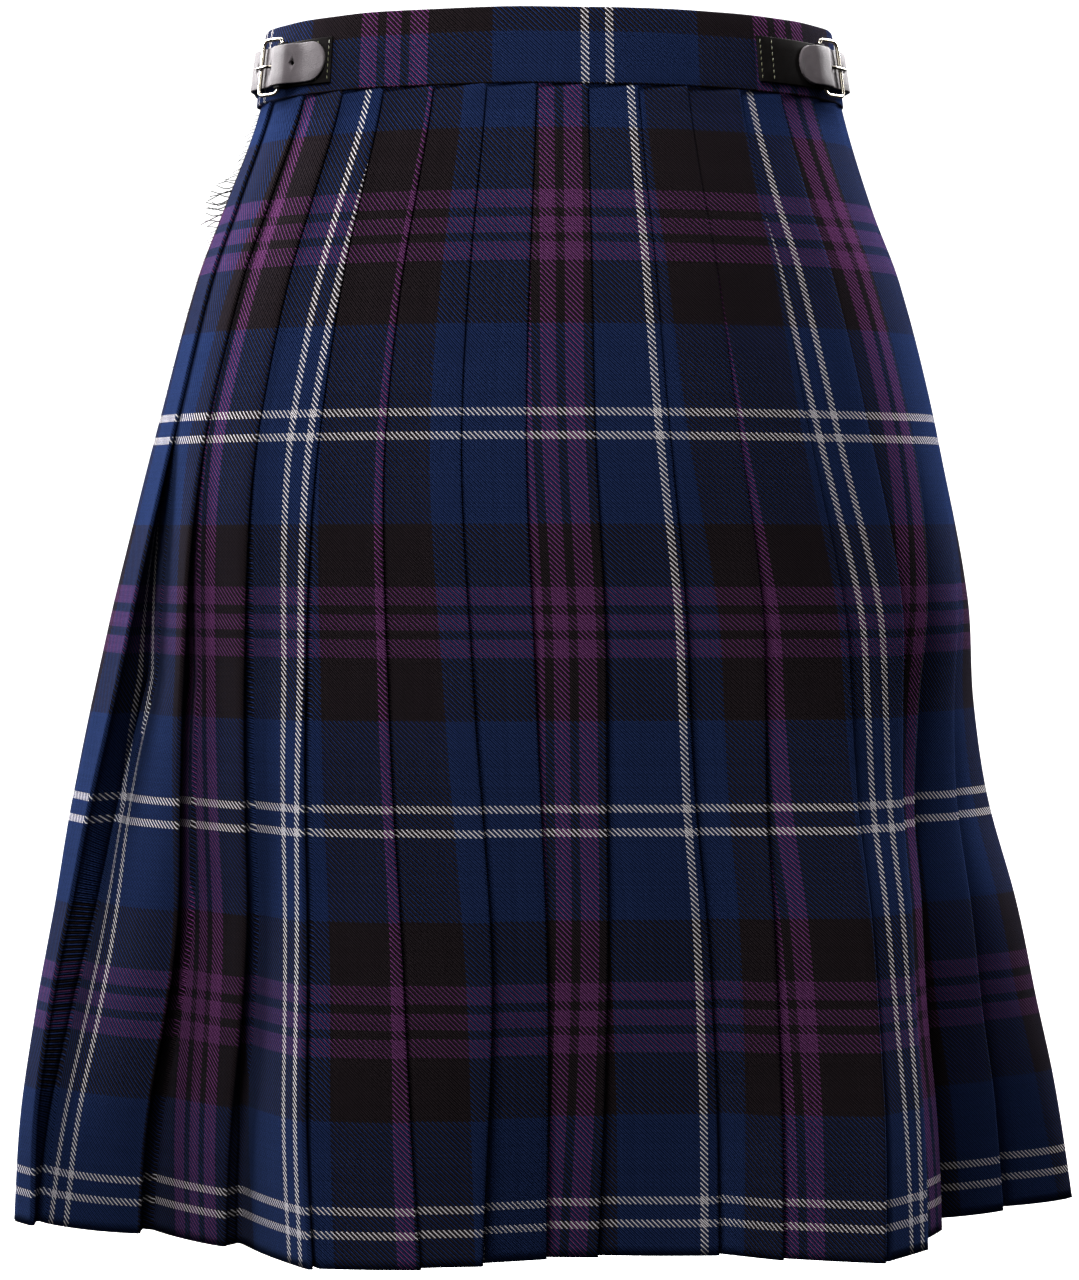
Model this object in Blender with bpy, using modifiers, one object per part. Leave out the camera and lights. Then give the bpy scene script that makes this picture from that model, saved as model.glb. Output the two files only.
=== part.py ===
"""A knee-length kilt in its worn shape, empty: pleated back, wrap-over front, buckled waist.

The frame is +Z up with the origin at the middle of the waist opening. The pleated back faces
-Y and the flat front faces +Y. Angles run round the body from the centre back (0 degrees),
positive towards +X, so 90 is the right side, 180 the centre front and -90 the left side.
Lengths in the tables are millimetres and "depth" is measured down from the top of the waist.
"""
import math
from collections import namedtuple

import bmesh
import bpy
from mathutils import Vector

MM = 0.001
LENGTH = 612.0  # top of the waistband to the hem, at the sides
BAND_HEIGHT = 38.0
SEAM_GAP = 0.3
BACK_RISE = 3.0  # the waist stands this much higher at the centre back
WALL = 1.0  # cloth
BAND_WALL = 2.0  # cloth doubled over a stiffener
LEATHER = 1.4
FELL = 205.0  # the pleats are sewn down to this depth and hang free below it
TAKE_UP = 74.0  # cloth from one fold edge to the next
UNDERLAP = 3.0  # how far the inner apron lies beneath the outer one

# The skirt's even shape, one row a depth: half widths to each side, then how far it reaches
# behind and in front of the side seams' plane.
Section = namedtuple("Section", "depth left right back front")
SECTIONS = [
    Section(0, 144, 146, 112, 100),
    Section(38, 149, 152, 117, 104),
    Section(90, 168, 168, 129, 111),
    Section(127, 182, 182, 135, 116),
    Section(200, 202, 201, 142, 122),
    Section(290, 225, 219, 146, 130),
    Section(345, 237, 222, 149, 136),
    Section(395, 247, 229, 151, 141),
    Section(448, 256, 244, 153, 146),
    Section(500, 266, 255, 155, 151),
    Section(551, 274, 266, 157, 155),
    Section(612, 278, 276, 158, 160),
]
FRONT_SQUARE = 0.12  # the front is flatter than an ellipse by this share
BACK_SQUARE = 0.09  # so is the back at the waist, fading out over the hips
FRONT_WAVE = 3.5  # the aprons' soft waves at the hem

# One row a pleat, by its outer fold: the fold's angle at five depths, how far it swings out
# from the even shape at the hem, how deep the next cloth lies behind the fold before it at
# thigh and hem, and how far its hem is lifted.
FOLD_DEPTHS = (38.0, 200.0, 330.0, 470.0, 612.0)
Fold = namedtuple("Fold", "seam hip thigh knee hem swing gap_thigh gap_hem lift")
FOLDS = [
    Fold(-69, -69, -70, -74.5, -75.5, -6, 4, 5, 0),
    Fold(-53.5, -57.5, -53.5, -50, -56, -35, 22, 10, 0),
    Fold(-41.5, -45, -41, -37, -38.5, -27, 11, 13, 0),
    Fold(-31.5, -33.5, -30.5, -26.5, -23.5, 18, 8, 12, 0),
    Fold(-21, -23, -19.5, -15.5, -12.5, 10, 6, 6, 0),
    Fold(-11, -12, -9, -6, -6.5, -2, 6, 6, 0),
    Fold(-2, -3, -1.5, 0, 0, -24, 6, 9, 0),
    Fold(7, 6.5, 7.5, 7, 5.5, -29, 6, 7, 0),
    Fold(16, 17, 18.5, 19.5, 19, -27, 6, 6, 0),
    Fold(25.5, 27.5, 29, 27, 25, -7, 6, 6, 0),
    Fold(37, 39.5, 42, 39, 35, 19, 6, 6, 0),
    Fold(48, 52.5, 54, 48, 44.5, -8, 6, 6, 0),
    Fold(59.5, 65.5, 61, 55, 55, -40, 7, 8, 2),
    Fold(74, 79, 76, 70.5, 75, -34, 10, 16, 6),
    Fold(87, 93, 91, 91, 95.5, 2, 7, 12, 6),
    Fold(99, 106, 104, 106, 113, 0, 7, 8, 4),
    Fold(111, 119, 118, 121, 129, 0, 7, 8, 2),
]
PITCH_SEWN = 1.8  # layer to layer where the pleats are sewn
PITCH_FREE = 2.6  # and at the hem
PITCH_POWER = 0.7  # how fast the layers part below the sewn pleats
SWING_POWER = 1.5  # how fast the folds swing away from the even shape
LEAST_UNDERFOLD = 3.0
MOST_HIDDEN = 0.9  # an underfold stays within this share of the face that covers it
ROWS = (38.3, 85, 145, 205, 240, 290, 350, 420, 490, 555, 612)
FIRST_FACE = (-110.0, -101.0, -92.0, -81.0)  # the cloth that comes from beneath the front

APRON_COLUMNS = 24
APRON_RISE = 9.0  # degrees over which the outer apron comes up from beneath the last fold
OUTER_EDGE = (264.0, 257.5, 252.5, 249.0, 246.5)  # the frayed edge, at the fold depths
INNER_EDGE_PAST = 7.0  # the inner apron's hidden edge lies this far past the last fold
INNER_EDGE_DRIFT = 8.0  # and this much further at the hem

BAND_COLUMNS = 84
BAND_INNER_END = 118.0
BAND_STEP = (-95.0, -87.0)  # the band dives beneath its own outer end between these
BAND_UNDER = 3.4  # how deep its inner turn lies

FRINGE_STRANDS = 118
FRINGE_STRIP = 3.0
FRINGE_LENGTH = 17.0
FRINGE_ROOT = 0.55
FRINGE_CLEAR = 1.0  # from the waistband, and twice that from the hem
FRINGE_DROOP = 2.5

STRAP_WIDTH = 20.0
TAB_WIDTH = 23.0
BAR_RADIUS = 1.0
BUCKLE_TALL = 30.0
BUCKLE_WIDE = 16.0
PRONG_RADIUS = 0.9
HOLE_RADIUS = 1.4
HOLE_STEP = 17.0
HOLE_CUT = 8.0
STRIP_STEP = 7.0
FRAME_CORNER = 3.0
# One row a side: the buckle's bar, the tab's sewn end, the strap's tip and its sewn end.
Fastening = namedtuple("Fastening", "side sign bar tab_end strap_tip strap_root holes")
FASTENING_DROP = 2.7  # the straps lie this far below the band's middle
TAB_RETURN = (4.0, 7.5)  # the tab's folded end goes back this far over itself
# The strap over the frame's inner bar and under its far one, as (distance past the inner bar,
# its middle's height off the band).
STRAP_PATH = [
    (-18, 2.7), (-14, 3.6), (-10.5, 5.8), (-8, 6.7), (0, 6.7), (2.2, 6.4), (4.4, 5.6), (7, 4.7),
    (10, 4.3), (14, 4.3), (17, 4.7), (21, 5.4), (26, 5.8), (32, 5.2), (39, 3.2), (46, 1.5),
    (52, 1.0),
]
FAR_LIFT = 3.5  # the frame's far bar stands this much higher than its inner one
PIERCED = 4.4  # the prong's hole, past the bar
FASTENINGS = [
    Fastening("left", -1, 61.0, 44.0, 45.3, 110.0, (-1, 1, 2)),
    Fastening("right", 1, 63.2, 41.7, 54.0, 108.0, (1, 2)),
]


def smooth(knots, values, at):
    """A smooth curve through the values, by cubic pieces with averaged slopes."""
    last = len(knots) - 1
    i = min(max(sum(k <= at for k in knots) - 1, 0), last - 1)
    width = knots[i + 1] - knots[i]

    def slope(j):
        low, high = max(j - 1, 0), min(j + 1, last)
        return (values[high] - values[low]) / (knots[high] - knots[low])

    t = min(max((at - knots[i]) / width, 0.0), 1.0)
    a, b = values[i], values[i + 1]
    rise = slope(i) * width * t * (1 - t) ** 2 - slope(i + 1) * width * t * t * (1 - t)
    return a + (b - a) * t * t * (3 - 2 * t) + rise


def section(depth):
    """The even shape's four reaches at a depth."""
    knots = [row.depth for row in SECTIONS]
    return [smooth(knots, [row[i] for row in SECTIONS], depth) for i in range(1, 5)]


def freedom(depth, power):
    """0 where the pleats are sewn, growing to 1 at the hem."""
    return max(0.0, (depth - FELL) / (LENGTH - FELL)) ** power


def even_shape(angle, depth):
    """The point of the skirt's even shape at an angle, seen from above."""
    left, right, back, front = section(depth)
    turn = math.radians(angle)
    across, along = math.sin(turn), -math.cos(turn)
    x = (right if across > 0 else left) * across
    if along <= 0:
        square = BACK_SQUARE * max(0.0, 1 - depth / FELL) ** 1.5
        return Vector((x * (1 + square * along * along), back * along))
    x *= 1 + FRONT_SQUARE * along * along
    wave = FRONT_WAVE * freedom(depth, 1.3) * math.sin(5 * turn + 0.6) * along * along
    return Vector((x, (front + wave) * along))


def outward(angle, depth):
    ahead, behind = even_shape(angle + 0.5, depth), even_shape(angle - 0.5, depth)
    run = (ahead - behind).normalized()
    return Vector((run.y, -run.x))


def height(angle, depth, lift=0.0):
    """Z of a depth: the back stands a little higher at the waist, and some folds at the hem."""
    rise = BACK_RISE * max(0.0, math.cos(math.radians(angle))) ** 2
    share = depth / LENGTH
    return -depth + rise * (1 - share) + lift * share**3


def on_shape(angle, depth, out=0.0):
    """A point on the even shape, moved outwards, in metres."""
    place = even_shape(angle, depth) + outward(angle, depth) * out
    return Vector((place.x, place.y, height(angle, depth))) * MM


def fold_angle(fold, depth):
    return smooth(FOLD_DEPTHS, fold[:5], depth)


def fold_place(fold, depth):
    """Where a pleat's outer fold runs at a depth, from above."""
    angle = fold_angle(fold, depth)
    swing = fold.swing * freedom(depth, SWING_POWER)
    return even_shape(angle, depth) + outward(angle, depth) * swing


def pitch_at(depth):
    """Layer to layer within a pleat."""
    return PITCH_SEWN + (PITCH_FREE - PITCH_SEWN) * freedom(depth, PITCH_POWER)


def fold_gap(fold, depth):
    """How deep a pleat's face starts behind the fold before it."""
    pitch = pitch_at(depth)
    if depth <= FELL:
        return 2 * pitch
    thigh = FOLD_DEPTHS[2]
    if depth < thigh:
        share = (depth - FELL) / (thigh - FELL)
        return 2 * pitch + (fold.gap_thigh - 2 * pitch) * share
    share = (depth - thigh) / (LENGTH - thigh)
    return fold.gap_thigh + (fold.gap_hem - fold.gap_thigh) * share


def pleated_row(depth):
    """One level of the pleated cloth, left to right, as (x, y, angle, lift) from above."""
    pitch = pitch_at(depth)
    row = []

    def add(place, angle, lift):
        row.append((place.x, place.y, angle, lift))

    # The first face comes from beneath the front and rises to its fold.
    for angle in FIRST_FACE:
        sunk = UNDERLAP if angle < -90 else UNDERLAP / 2
        previous = even_shape(angle, depth) - outward(angle, depth) * sunk
        add(previous, angle, 0.0)
    previous_angle = FIRST_FACE[-1]
    for number, fold in enumerate(FOLDS):
        edge = fold_place(fold, depth)
        angle = fold_angle(fold, depth)
        along = (edge - previous).normalized()
        inward = Vector((-along.y, along.x))
        reach = (edge - previous).length
        if number:
            chord = (even_shape(angle, depth) + even_shape(previous_angle, depth)) / 2
            crown = (even_shape((angle + previous_angle) / 2, depth) - chord).length
            for share in (1 / 3, 2 / 3):
                bulge = crown * 4 * share * (1 - share)
                middle = previous.lerp(edge, share) - inward * bulge
                add(middle, previous_angle + (angle - previous_angle) * share, fold.lift)
        add(edge - along * pitch / 2, angle, fold.lift)
        add(edge + inward * pitch / 2, angle, fold.lift)
        add(edge - along * pitch / 2 + inward * pitch, angle, fold.lift)
        following = FOLDS[min(number + 1, len(FOLDS) - 1)]
        gap = fold_gap(following, depth)
        start = edge + inward * gap
        ahead = fold_place(following, depth)
        shown = (ahead - start).length if number + 1 < len(FOLDS) else TAKE_UP / 2
        under = min(max((TAKE_UP - shown) / 2, LEAST_UNDERFOLD), MOST_HIDDEN * reach)
        turn = edge.lerp(previous, under / reach)
        add(turn + inward * (gap - pitch), angle, fold.lift)
        add(turn - along * pitch / 2 + inward * (gap - pitch / 2), angle, fold.lift)
        add(turn + inward * gap, angle, fold.lift)
        add(start, angle, following.lift)
        previous, previous_angle = start, angle
    return row


def pleated_points(depth):
    """One level of the pleated cloth in metres."""
    row = pleated_row(depth)
    return [Vector((x, y, height(angle, depth, lift))) * MM for x, y, angle, lift in row]


def material(name, color, roughness, metallic=0.0):
    made = bpy.data.materials.new(name)
    made.use_nodes = True
    shader = made.node_tree.nodes["Principled BSDF"]
    shader.inputs["Base Color"].default_value = (*color, 1.0)
    shader.inputs["Roughness"].default_value = roughness
    shader.inputs["Metallic"].default_value = metallic
    return made


def new_object(name, mesh, finish):
    made = bpy.data.objects.new(name, mesh)
    made.data.materials.append(finish)
    kilt.objects.link(made)
    return made


def cloth_sheet(name, rows, thickness, finish):
    """A sheet lofted through rows of points, given its thickness by Solidify."""
    sheet = bmesh.new()
    grid = [[sheet.verts.new(point) for point in row] for row in rows]
    for upper, lower in zip(grid, grid[1:]):
        for i in range(len(upper) - 1):
            sheet.faces.new((upper[i], lower[i], lower[i + 1], upper[i + 1]))
    mesh = bpy.data.meshes.new(name)
    sheet.to_mesh(mesh)
    sheet.free()
    made = new_object(name, mesh, finish)
    thicken = made.modifiers.new("Cloth", "SOLIDIFY")
    thicken.thickness = thickness * MM
    thicken.offset = 0.0
    thicken.use_even_offset = True
    return made


def build_pleated_back():
    rows = [pleated_points(depth) for depth in ROWS]
    cloth_sheet("pleated_back", rows, WALL, tartan)


def apron_row(depth, first, last, out):
    """One level of a flat front panel between two angles."""
    row = []
    for i in range(APRON_COLUMNS):
        angle = first + (last - first) * i / (APRON_COLUMNS - 1)
        row.append(on_shape(angle, depth, out(angle, first, depth)))
    return row


def build_aprons():
    outer, inner = [], []
    for depth in ROWS:
        last_fold = fold_angle(FOLDS[-1], depth)
        sunk = fold_gap(FOLDS[-1], depth)

        def rising(angle, first, depth):
            """The outer apron comes out from beneath the last fold and rises to the shape."""
            return -sunk * max(0.0, 1 - (angle - first) / APRON_RISE)

        free_edge = smooth(FOLD_DEPTHS, OUTER_EDGE, depth)
        row = apron_row(depth, last_fold, free_edge, rising)
        seam = pleated_points(depth)[-1]
        row[0] = seam + (row[1] - seam).normalized() * SEAM_GAP * MM
        outer.append(row)
        hidden_edge = last_fold + INNER_EDGE_PAST + INNER_EDGE_DRIFT * freedom(depth, 1.0)
        left_seam = 360 + FIRST_FACE[0] - math.degrees(SEAM_GAP / section(depth)[2])
        inner.append(apron_row(depth, hidden_edge, left_seam, lambda *at: -UNDERLAP))
    cloth_sheet("outer_apron", outer, WALL, tartan)
    cloth_sheet("inner_apron", inner, WALL, tartan)


def build_waistband():
    """One strip: the outer turn from the frayed edge back round the body, then beneath it."""
    span = (BAND_INNER_END - 360) - OUTER_EDGE[0]
    rows = ([], [])
    for i in range(BAND_COLUMNS):
        angle = OUTER_EDGE[0] + span * i / (BAND_COLUMNS - 1)
        step = (BAND_STEP[1] - angle) / (BAND_STEP[1] - BAND_STEP[0])
        step = min(max(step, 0.0), 1.0)
        sunk = BAND_UNDER * step * step * (3 - 2 * step)
        for row, depth in zip(rows, (0.0, BAND_HEIGHT)):
            row.append(on_shape(angle, depth, -sunk))
    cloth_sheet("waistband", [rows[1], rows[0]], BAND_WALL, tartan)


def beside_apron(depth, past, out):
    """A point past the outer apron's free edge, on the straight lines between its rows."""
    upper = max(row for row in ROWS if row <= depth)
    lower = min(row for row in ROWS if row > depth)
    ends = []
    for row in (upper, lower):
        across = section(row)[2] * math.pi / 180
        ends.append(on_shape(smooth(FOLD_DEPTHS, OUTER_EDGE, row) + past / across, row, out))
    return ends[0].lerp(ends[1], (depth - upper) / (lower - upper))


def build_fringe():
    """Threads on a narrow strip beside the outer apron's free edge, pulled from one mesh."""
    comb = bmesh.new()
    rungs = []
    drop = LENGTH - BAND_HEIGHT - 3 * FRINGE_CLEAR
    for i in range(FRINGE_STRANDS + 1):
        depth = BAND_HEIGHT + FRINGE_CLEAR + drop * i / FRINGE_STRANDS
        near, far = SEAM_GAP, SEAM_GAP + FRINGE_STRIP
        corners = [(near, WALL / 2), (far, WALL / 2), (far, -WALL / 2), (near, -WALL / 2)]
        rungs.append([comb.verts.new(beside_apron(depth, past, out)) for past, out in corners])
    comb.faces.new(rungs[0][::-1])
    comb.faces.new(rungs[-1])
    tips = []
    for upper, lower in zip(rungs, rungs[1:]):
        for i in range(4):
            j = (i + 1) % 4
            face = comb.faces.new((upper[i], lower[i], lower[j], upper[j]))
            if i == 1:
                tips.append(face)
    bmesh.ops.recalc_face_normals(comb, faces=comb.faces)
    margin = (WALL - FRINGE_ROOT) / 2
    bmesh.ops.inset_individual(comb, faces=tips, thickness=margin * MM)
    for number, face in enumerate(tips):
        root, along = face.calc_center_median(), face.normal.copy()
        poked = bmesh.ops.poke(comb, faces=[face])
        tip = poked["verts"][0]
        tip.co = root + along * (FRINGE_LENGTH + 3 * math.sin(number * 1.7)) * MM
        side = Vector((along.y, -along.x, 0.0))
        tip.co += side * (1 + math.sin(number * 2.4)) * MM
        if number < FRINGE_STRANDS - 2:
            tip.co.z -= (FRINGE_DROOP + 1.5 * math.cos(number * 1.3)) * MM
    mesh = bpy.data.meshes.new("apron_fringe")
    comb.to_mesh(mesh)
    comb.free()
    new_object("apron_fringe", mesh, tartan)


class BandRun:
    """Distances along the waistband's outside, from the centre back round one side."""

    STEP = 0.5

    def __init__(self, sign):
        self.sign = sign
        self.depth = BAND_HEIGHT / 2
        self.lengths = [0.0]
        for i in range(1, 300):
            run = self.even(i * self.STEP) - self.even((i - 1) * self.STEP)
            self.lengths.append(self.lengths[-1] + run.length)

    def even(self, angle):
        return even_shape(self.sign * angle, self.depth)

    def distance(self, angle):
        i = int(angle / self.STEP)
        share = angle / self.STEP - i
        return self.lengths[i] + (self.lengths[i + 1] - self.lengths[i]) * share

    def angle(self, distance):
        i = max(sum(length <= distance for length in self.lengths) - 1, 0)
        share = (distance - self.lengths[i]) / (self.lengths[i + 1] - self.lengths[i])
        return (i + share) * self.STEP

    def point(self, distance, out, up):
        """A point at a distance round, out from the band's face, and up from the straps' line."""
        angle = self.sign * self.angle(distance)
        top = on_shape(angle, 0.0, BAND_WALL / 2 + out)
        low = on_shape(angle, BAND_HEIGHT, BAND_WALL / 2 + out)
        return top.lerp(low, 0.5 + (FASTENING_DROP - up) / BAND_HEIGHT)


def leather_strip(name, run, path, half_width, thickness=LEATHER):
    """A strip of leather along (distance, out) points, as wide as half_width(distance) says."""
    top = [run.point(d, out, half_width(d)) for d, out in path]
    low = [run.point(d, out, -half_width(d)) for d, out in path]
    rows = [top, low] if run.sign > 0 else [low, top]
    return cloth_sheet(name, rows, thickness, leather)


def lying_flat(start, end, out):
    """Points close enough together that a strip follows the band's curve."""
    count = max(1, round(abs(end - start) / STRIP_STEP))
    return [(start + (end - start) * i / count, out) for i in range(count + 1)]


def arc(center, radius, start, end, steps):
    """Points on an arc in the (distance, out) plane."""
    turns = [math.radians(start + (end - start) * i / steps) for i in range(steps + 1)]
    return [(center[0] + radius * math.cos(a), center[1] + radius * math.sin(a)) for a in turns]


def cutter(name, run, distance, out, up, size):
    """A block that cuts a slot or a hole, on the band's outward direction."""
    bpy.ops.mesh.primitive_cylinder_add(vertices=10, radius=1.0, depth=1.0)
    block = bpy.context.object
    block.name = name
    middle = run.point(distance, out, up)
    facing = (run.point(distance, out + 1, up) - middle).normalized()
    block.rotation_mode = "QUATERNION"
    block.rotation_quaternion = facing.to_track_quat("Z", "Y")
    block.location = middle
    block.scale = Vector(size) * MM
    block.hide_render = True
    block.display_type = "WIRE"
    for holder in list(block.users_collection):
        holder.objects.unlink(block)
    cutters.objects.link(block)
    return block


def cut(target, block):
    remove = target.modifiers.new("Cut", "BOOLEAN")
    remove.operation = "DIFFERENCE"
    remove.solver = "EXACT"
    remove.object = block


def bent_wire(name, points, radius, closed, finish):
    curve = bpy.data.curves.new(name, "CURVE")
    curve.dimensions = "3D"
    curve.bevel_depth = radius * MM
    curve.bevel_resolution = 2
    curve.use_fill_caps = not closed
    spline = curve.splines.new("POLY")
    spline.points.add(len(points) - 1)
    for point, place in zip(spline.points, points):
        point.co = (*place, 1.0)
    spline.use_cyclic_u = closed
    made = bpy.data.objects.new(name, curve)
    made.data.materials.append(finish)
    kilt.objects.link(made)


def build_fastening(row):
    run = BandRun(row.sign)
    bar = run.distance(row.bar)
    lying = SEAM_GAP + LEATHER / 2
    bar_out = lying + LEATHER / 2 + SEAM_GAP + BAR_RADIUS
    wrap = BAR_RADIUS + SEAM_GAP + LEATHER / 2
    over = bar_out + wrap + LEATHER + SEAM_GAP
    far = bar + BUCKLE_WIDE - 2 * BAR_RADIUS

    # The tab is sewn at one end, and its other end turns round the bar and back on itself.
    sewn = run.distance(row.tab_end)
    path = lying_flat(sewn, bar, lying)
    path += arc((bar, bar_out), wrap, -90, 90, 6)[1:]
    path += [(bar - back, bar_out + wrap) for back in TAB_RETURN]
    tab = leather_strip(f"tab_{row.side}", run, path, lambda d: TAB_WIDTH / 2)
    slot = cutter(f"slot_{row.side}", run, bar + wrap, bar_out, 0.0, (3.0, 2.2, 8.4))
    cut(tab, slot)

    # The strap comes from the front, runs under the frame's far bar and up through it, and
    # lies back over the tab with its round tip.
    tip = run.distance(row.strap_tip)
    root = run.distance(row.strap_root)
    half = STRAP_WIDTH / 2
    rest = lying + LEATHER + SEAM_GAP
    ends = [math.radians(a) for a in (0.1, 20, 40, 60, 80)]
    strap_path = [(tip + half * (1 - math.cos(a)), rest) for a in ends]
    pasts = [past for past, _ in STRAP_PATH]
    offs = [off for _, off in STRAP_PATH]
    strap_path += lying_flat(tip + half, bar + pasts[0], rest)[:-1]
    strap_path += [(bar + past, off) for past, off in STRAP_PATH]
    strap_path += lying_flat(bar + pasts[-1], root, lying)[1:]

    def strap_half(distance):
        """Half the strap's width: a round tip, then straight."""
        from_tip = distance - tip
        if from_tip >= half:
            return half
        return math.sqrt(max(half**2 - (half - from_tip) ** 2, 0.05))

    strap = leather_strip(f"strap_{row.side}", run, strap_path, strap_half)
    pierced = bar + PIERCED
    cut(strap, cutter(f"pierced_{row.side}", run, pierced, over - 1.4, 0.0, (2.1, 1.8, 9.0)))
    for number in row.holes:
        place = pierced + HOLE_STEP * number
        off = smooth(pasts, offs, place - bar)
        size = (HOLE_RADIUS, HOLE_RADIUS, HOLE_CUT)
        cut(strap, cutter(f"hole_{row.side}_{number}", run, place, off, 0.0, size))

    # The frame is a rounded rectangle of wire, level with the bar.
    tall = BUCKLE_TALL / 2 - BAR_RADIUS
    frame = []
    for centre_d, centre_up, first in (
        (far - FRAME_CORNER, tall - FRAME_CORNER, 0),
        (bar + FRAME_CORNER, tall - FRAME_CORNER, 90),
        (bar + FRAME_CORNER, -tall + FRAME_CORNER, 180),
        (far - FRAME_CORNER, -tall + FRAME_CORNER, 270),
    ):
        for step in range(4):
            a = math.radians(first + 30 * step)
            d = centre_d + FRAME_CORNER * math.cos(a)
            up = centre_up + FRAME_CORNER * math.sin(a)
            frame.append(run.point(d, bar_out + FAR_LIFT * (d - bar) / (far - bar), up))
    bent_wire(f"buckle_{row.side}", frame, BAR_RADIUS, True, steel)

    # The prong starts beside the bar, in the tab's slot, goes up through the strap and
    # lies on the far bar.
    beside = bar + BAR_RADIUS + SEAM_GAP + PRONG_RADIUS
    on_far = bar_out + FAR_LIFT + BAR_RADIUS + SEAM_GAP + PRONG_RADIUS
    prong = [(beside, bar_out - 0.6), (beside + 0.5, bar_out + 1.6), (beside + 1.9, over - 0.8)]
    prong += [(beside + 3.0, over + 0.9), (beside + 5.0, over + 1.5), (far - 1.0, on_far + 0.1)]
    prong += [(far + 1.4, on_far)]
    points = [run.point(d, out, 0.0) for d, out in prong]
    bent_wire(f"prong_{row.side}", points, PRONG_RADIUS, False, steel)


for old in list(bpy.data.objects):
    bpy.data.objects.remove(old, do_unlink=True)
kilt = bpy.data.collections.new("kilt")
cutters = bpy.data.collections.new("cutters")
bpy.context.scene.collection.children.link(kilt)
bpy.context.scene.collection.children.link(cutters)
tartan = material("wool_tartan", (0.03, 0.045, 0.13), 0.9)
leather = material("black_leather", (0.02, 0.018, 0.02), 0.45)
steel = material("polished_steel", (0.75, 0.72, 0.66), 0.25, 1.0)

build_pleated_back()
build_aprons()
build_waistband()
build_fringe()
for fastening in FASTENINGS:
    build_fastening(fastening)
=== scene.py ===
"""A pleated wool kilt in its worn shape: twill check cloth, leather straps and plated buckles.

The frame is +Z up with the origin at the middle of the waist opening; the pleated back faces -Y.
Angles run round the body from the centre back, positive towards +X. Tables are in millimetres.
"""
import math
from collections import namedtuple
from functools import lru_cache

import bmesh
import bpy
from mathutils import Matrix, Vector, noise


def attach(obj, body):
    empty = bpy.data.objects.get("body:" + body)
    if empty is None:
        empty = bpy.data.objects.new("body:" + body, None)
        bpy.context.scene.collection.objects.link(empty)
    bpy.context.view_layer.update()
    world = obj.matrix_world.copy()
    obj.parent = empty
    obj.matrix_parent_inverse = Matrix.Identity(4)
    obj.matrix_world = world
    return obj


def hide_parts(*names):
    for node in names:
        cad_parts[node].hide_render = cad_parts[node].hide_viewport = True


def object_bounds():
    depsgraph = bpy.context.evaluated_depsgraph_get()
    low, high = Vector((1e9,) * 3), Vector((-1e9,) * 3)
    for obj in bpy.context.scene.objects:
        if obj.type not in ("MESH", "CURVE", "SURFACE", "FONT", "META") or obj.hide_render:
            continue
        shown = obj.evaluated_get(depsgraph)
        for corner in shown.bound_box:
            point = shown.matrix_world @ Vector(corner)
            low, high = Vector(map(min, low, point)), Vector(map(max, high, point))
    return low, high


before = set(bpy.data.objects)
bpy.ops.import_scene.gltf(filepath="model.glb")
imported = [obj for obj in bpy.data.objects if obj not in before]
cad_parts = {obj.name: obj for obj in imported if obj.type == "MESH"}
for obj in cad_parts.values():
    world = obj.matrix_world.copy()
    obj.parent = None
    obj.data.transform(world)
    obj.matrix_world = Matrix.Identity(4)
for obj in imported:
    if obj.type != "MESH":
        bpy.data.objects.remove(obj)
cad_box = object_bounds()

MM = 0.001
LENGTH = 612.0
BAND_HEIGHT = 38.0
BACK_RISE = 3.0
FELL = 205.0  # the pleats are sewn down to here
TAKE_UP = 74.3  # cloth from one fold edge to the next
UNDERLAP = 3.0
CLOTH = 0.75
BAND_WALL = 2.0
LEATHER = 1.4
SEAM_GAP = 0.3
TUCK = 1.5  # the skirt's top runs this far up inside the waistband

Section = namedtuple("Section", "depth left right back front")
SECTIONS = [
    Section(0, 144, 146, 112, 100),
    Section(38, 149, 152, 117, 104),
    Section(90, 168, 168, 129, 111),
    Section(127, 182, 182, 135, 116),
    Section(200, 202, 201, 142, 122),
    Section(290, 225, 219, 146, 130),
    Section(345, 237, 222, 149, 136),
    Section(395, 247, 229, 151, 141),
    Section(448, 256, 244, 153, 146),
    Section(500, 266, 255, 155, 151),
    Section(551, 274, 266, 157, 155),
    Section(612, 278, 276, 158, 160),
]
# How much squarer than an oval the front is, and the back at the waist.
FRONT_SQUARE = 0.12
BACK_SQUARE = 0.09
SQUARE_POWER = 1.5
# The slack waves that the front gets towards its hem.
FRONT_WAVE = 3.5
FRONT_WAVES = 5
WAVE_TURN = 0.6
WAVE_POWER = 1.3
# The cloth's soft swells: their size across and down, how far they lift it where it is sewn
# and how much more where it hangs free, and where in the noise they start.
Swell = namedtuple("Swell", "wide tall sewn free shift")
SWELLS = [Swell(70, 210, 0.5, 2.0, 0), Swell(26, 60, 0.3, 0.25, 9)]
SWELL_POWER = 0.8

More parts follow.
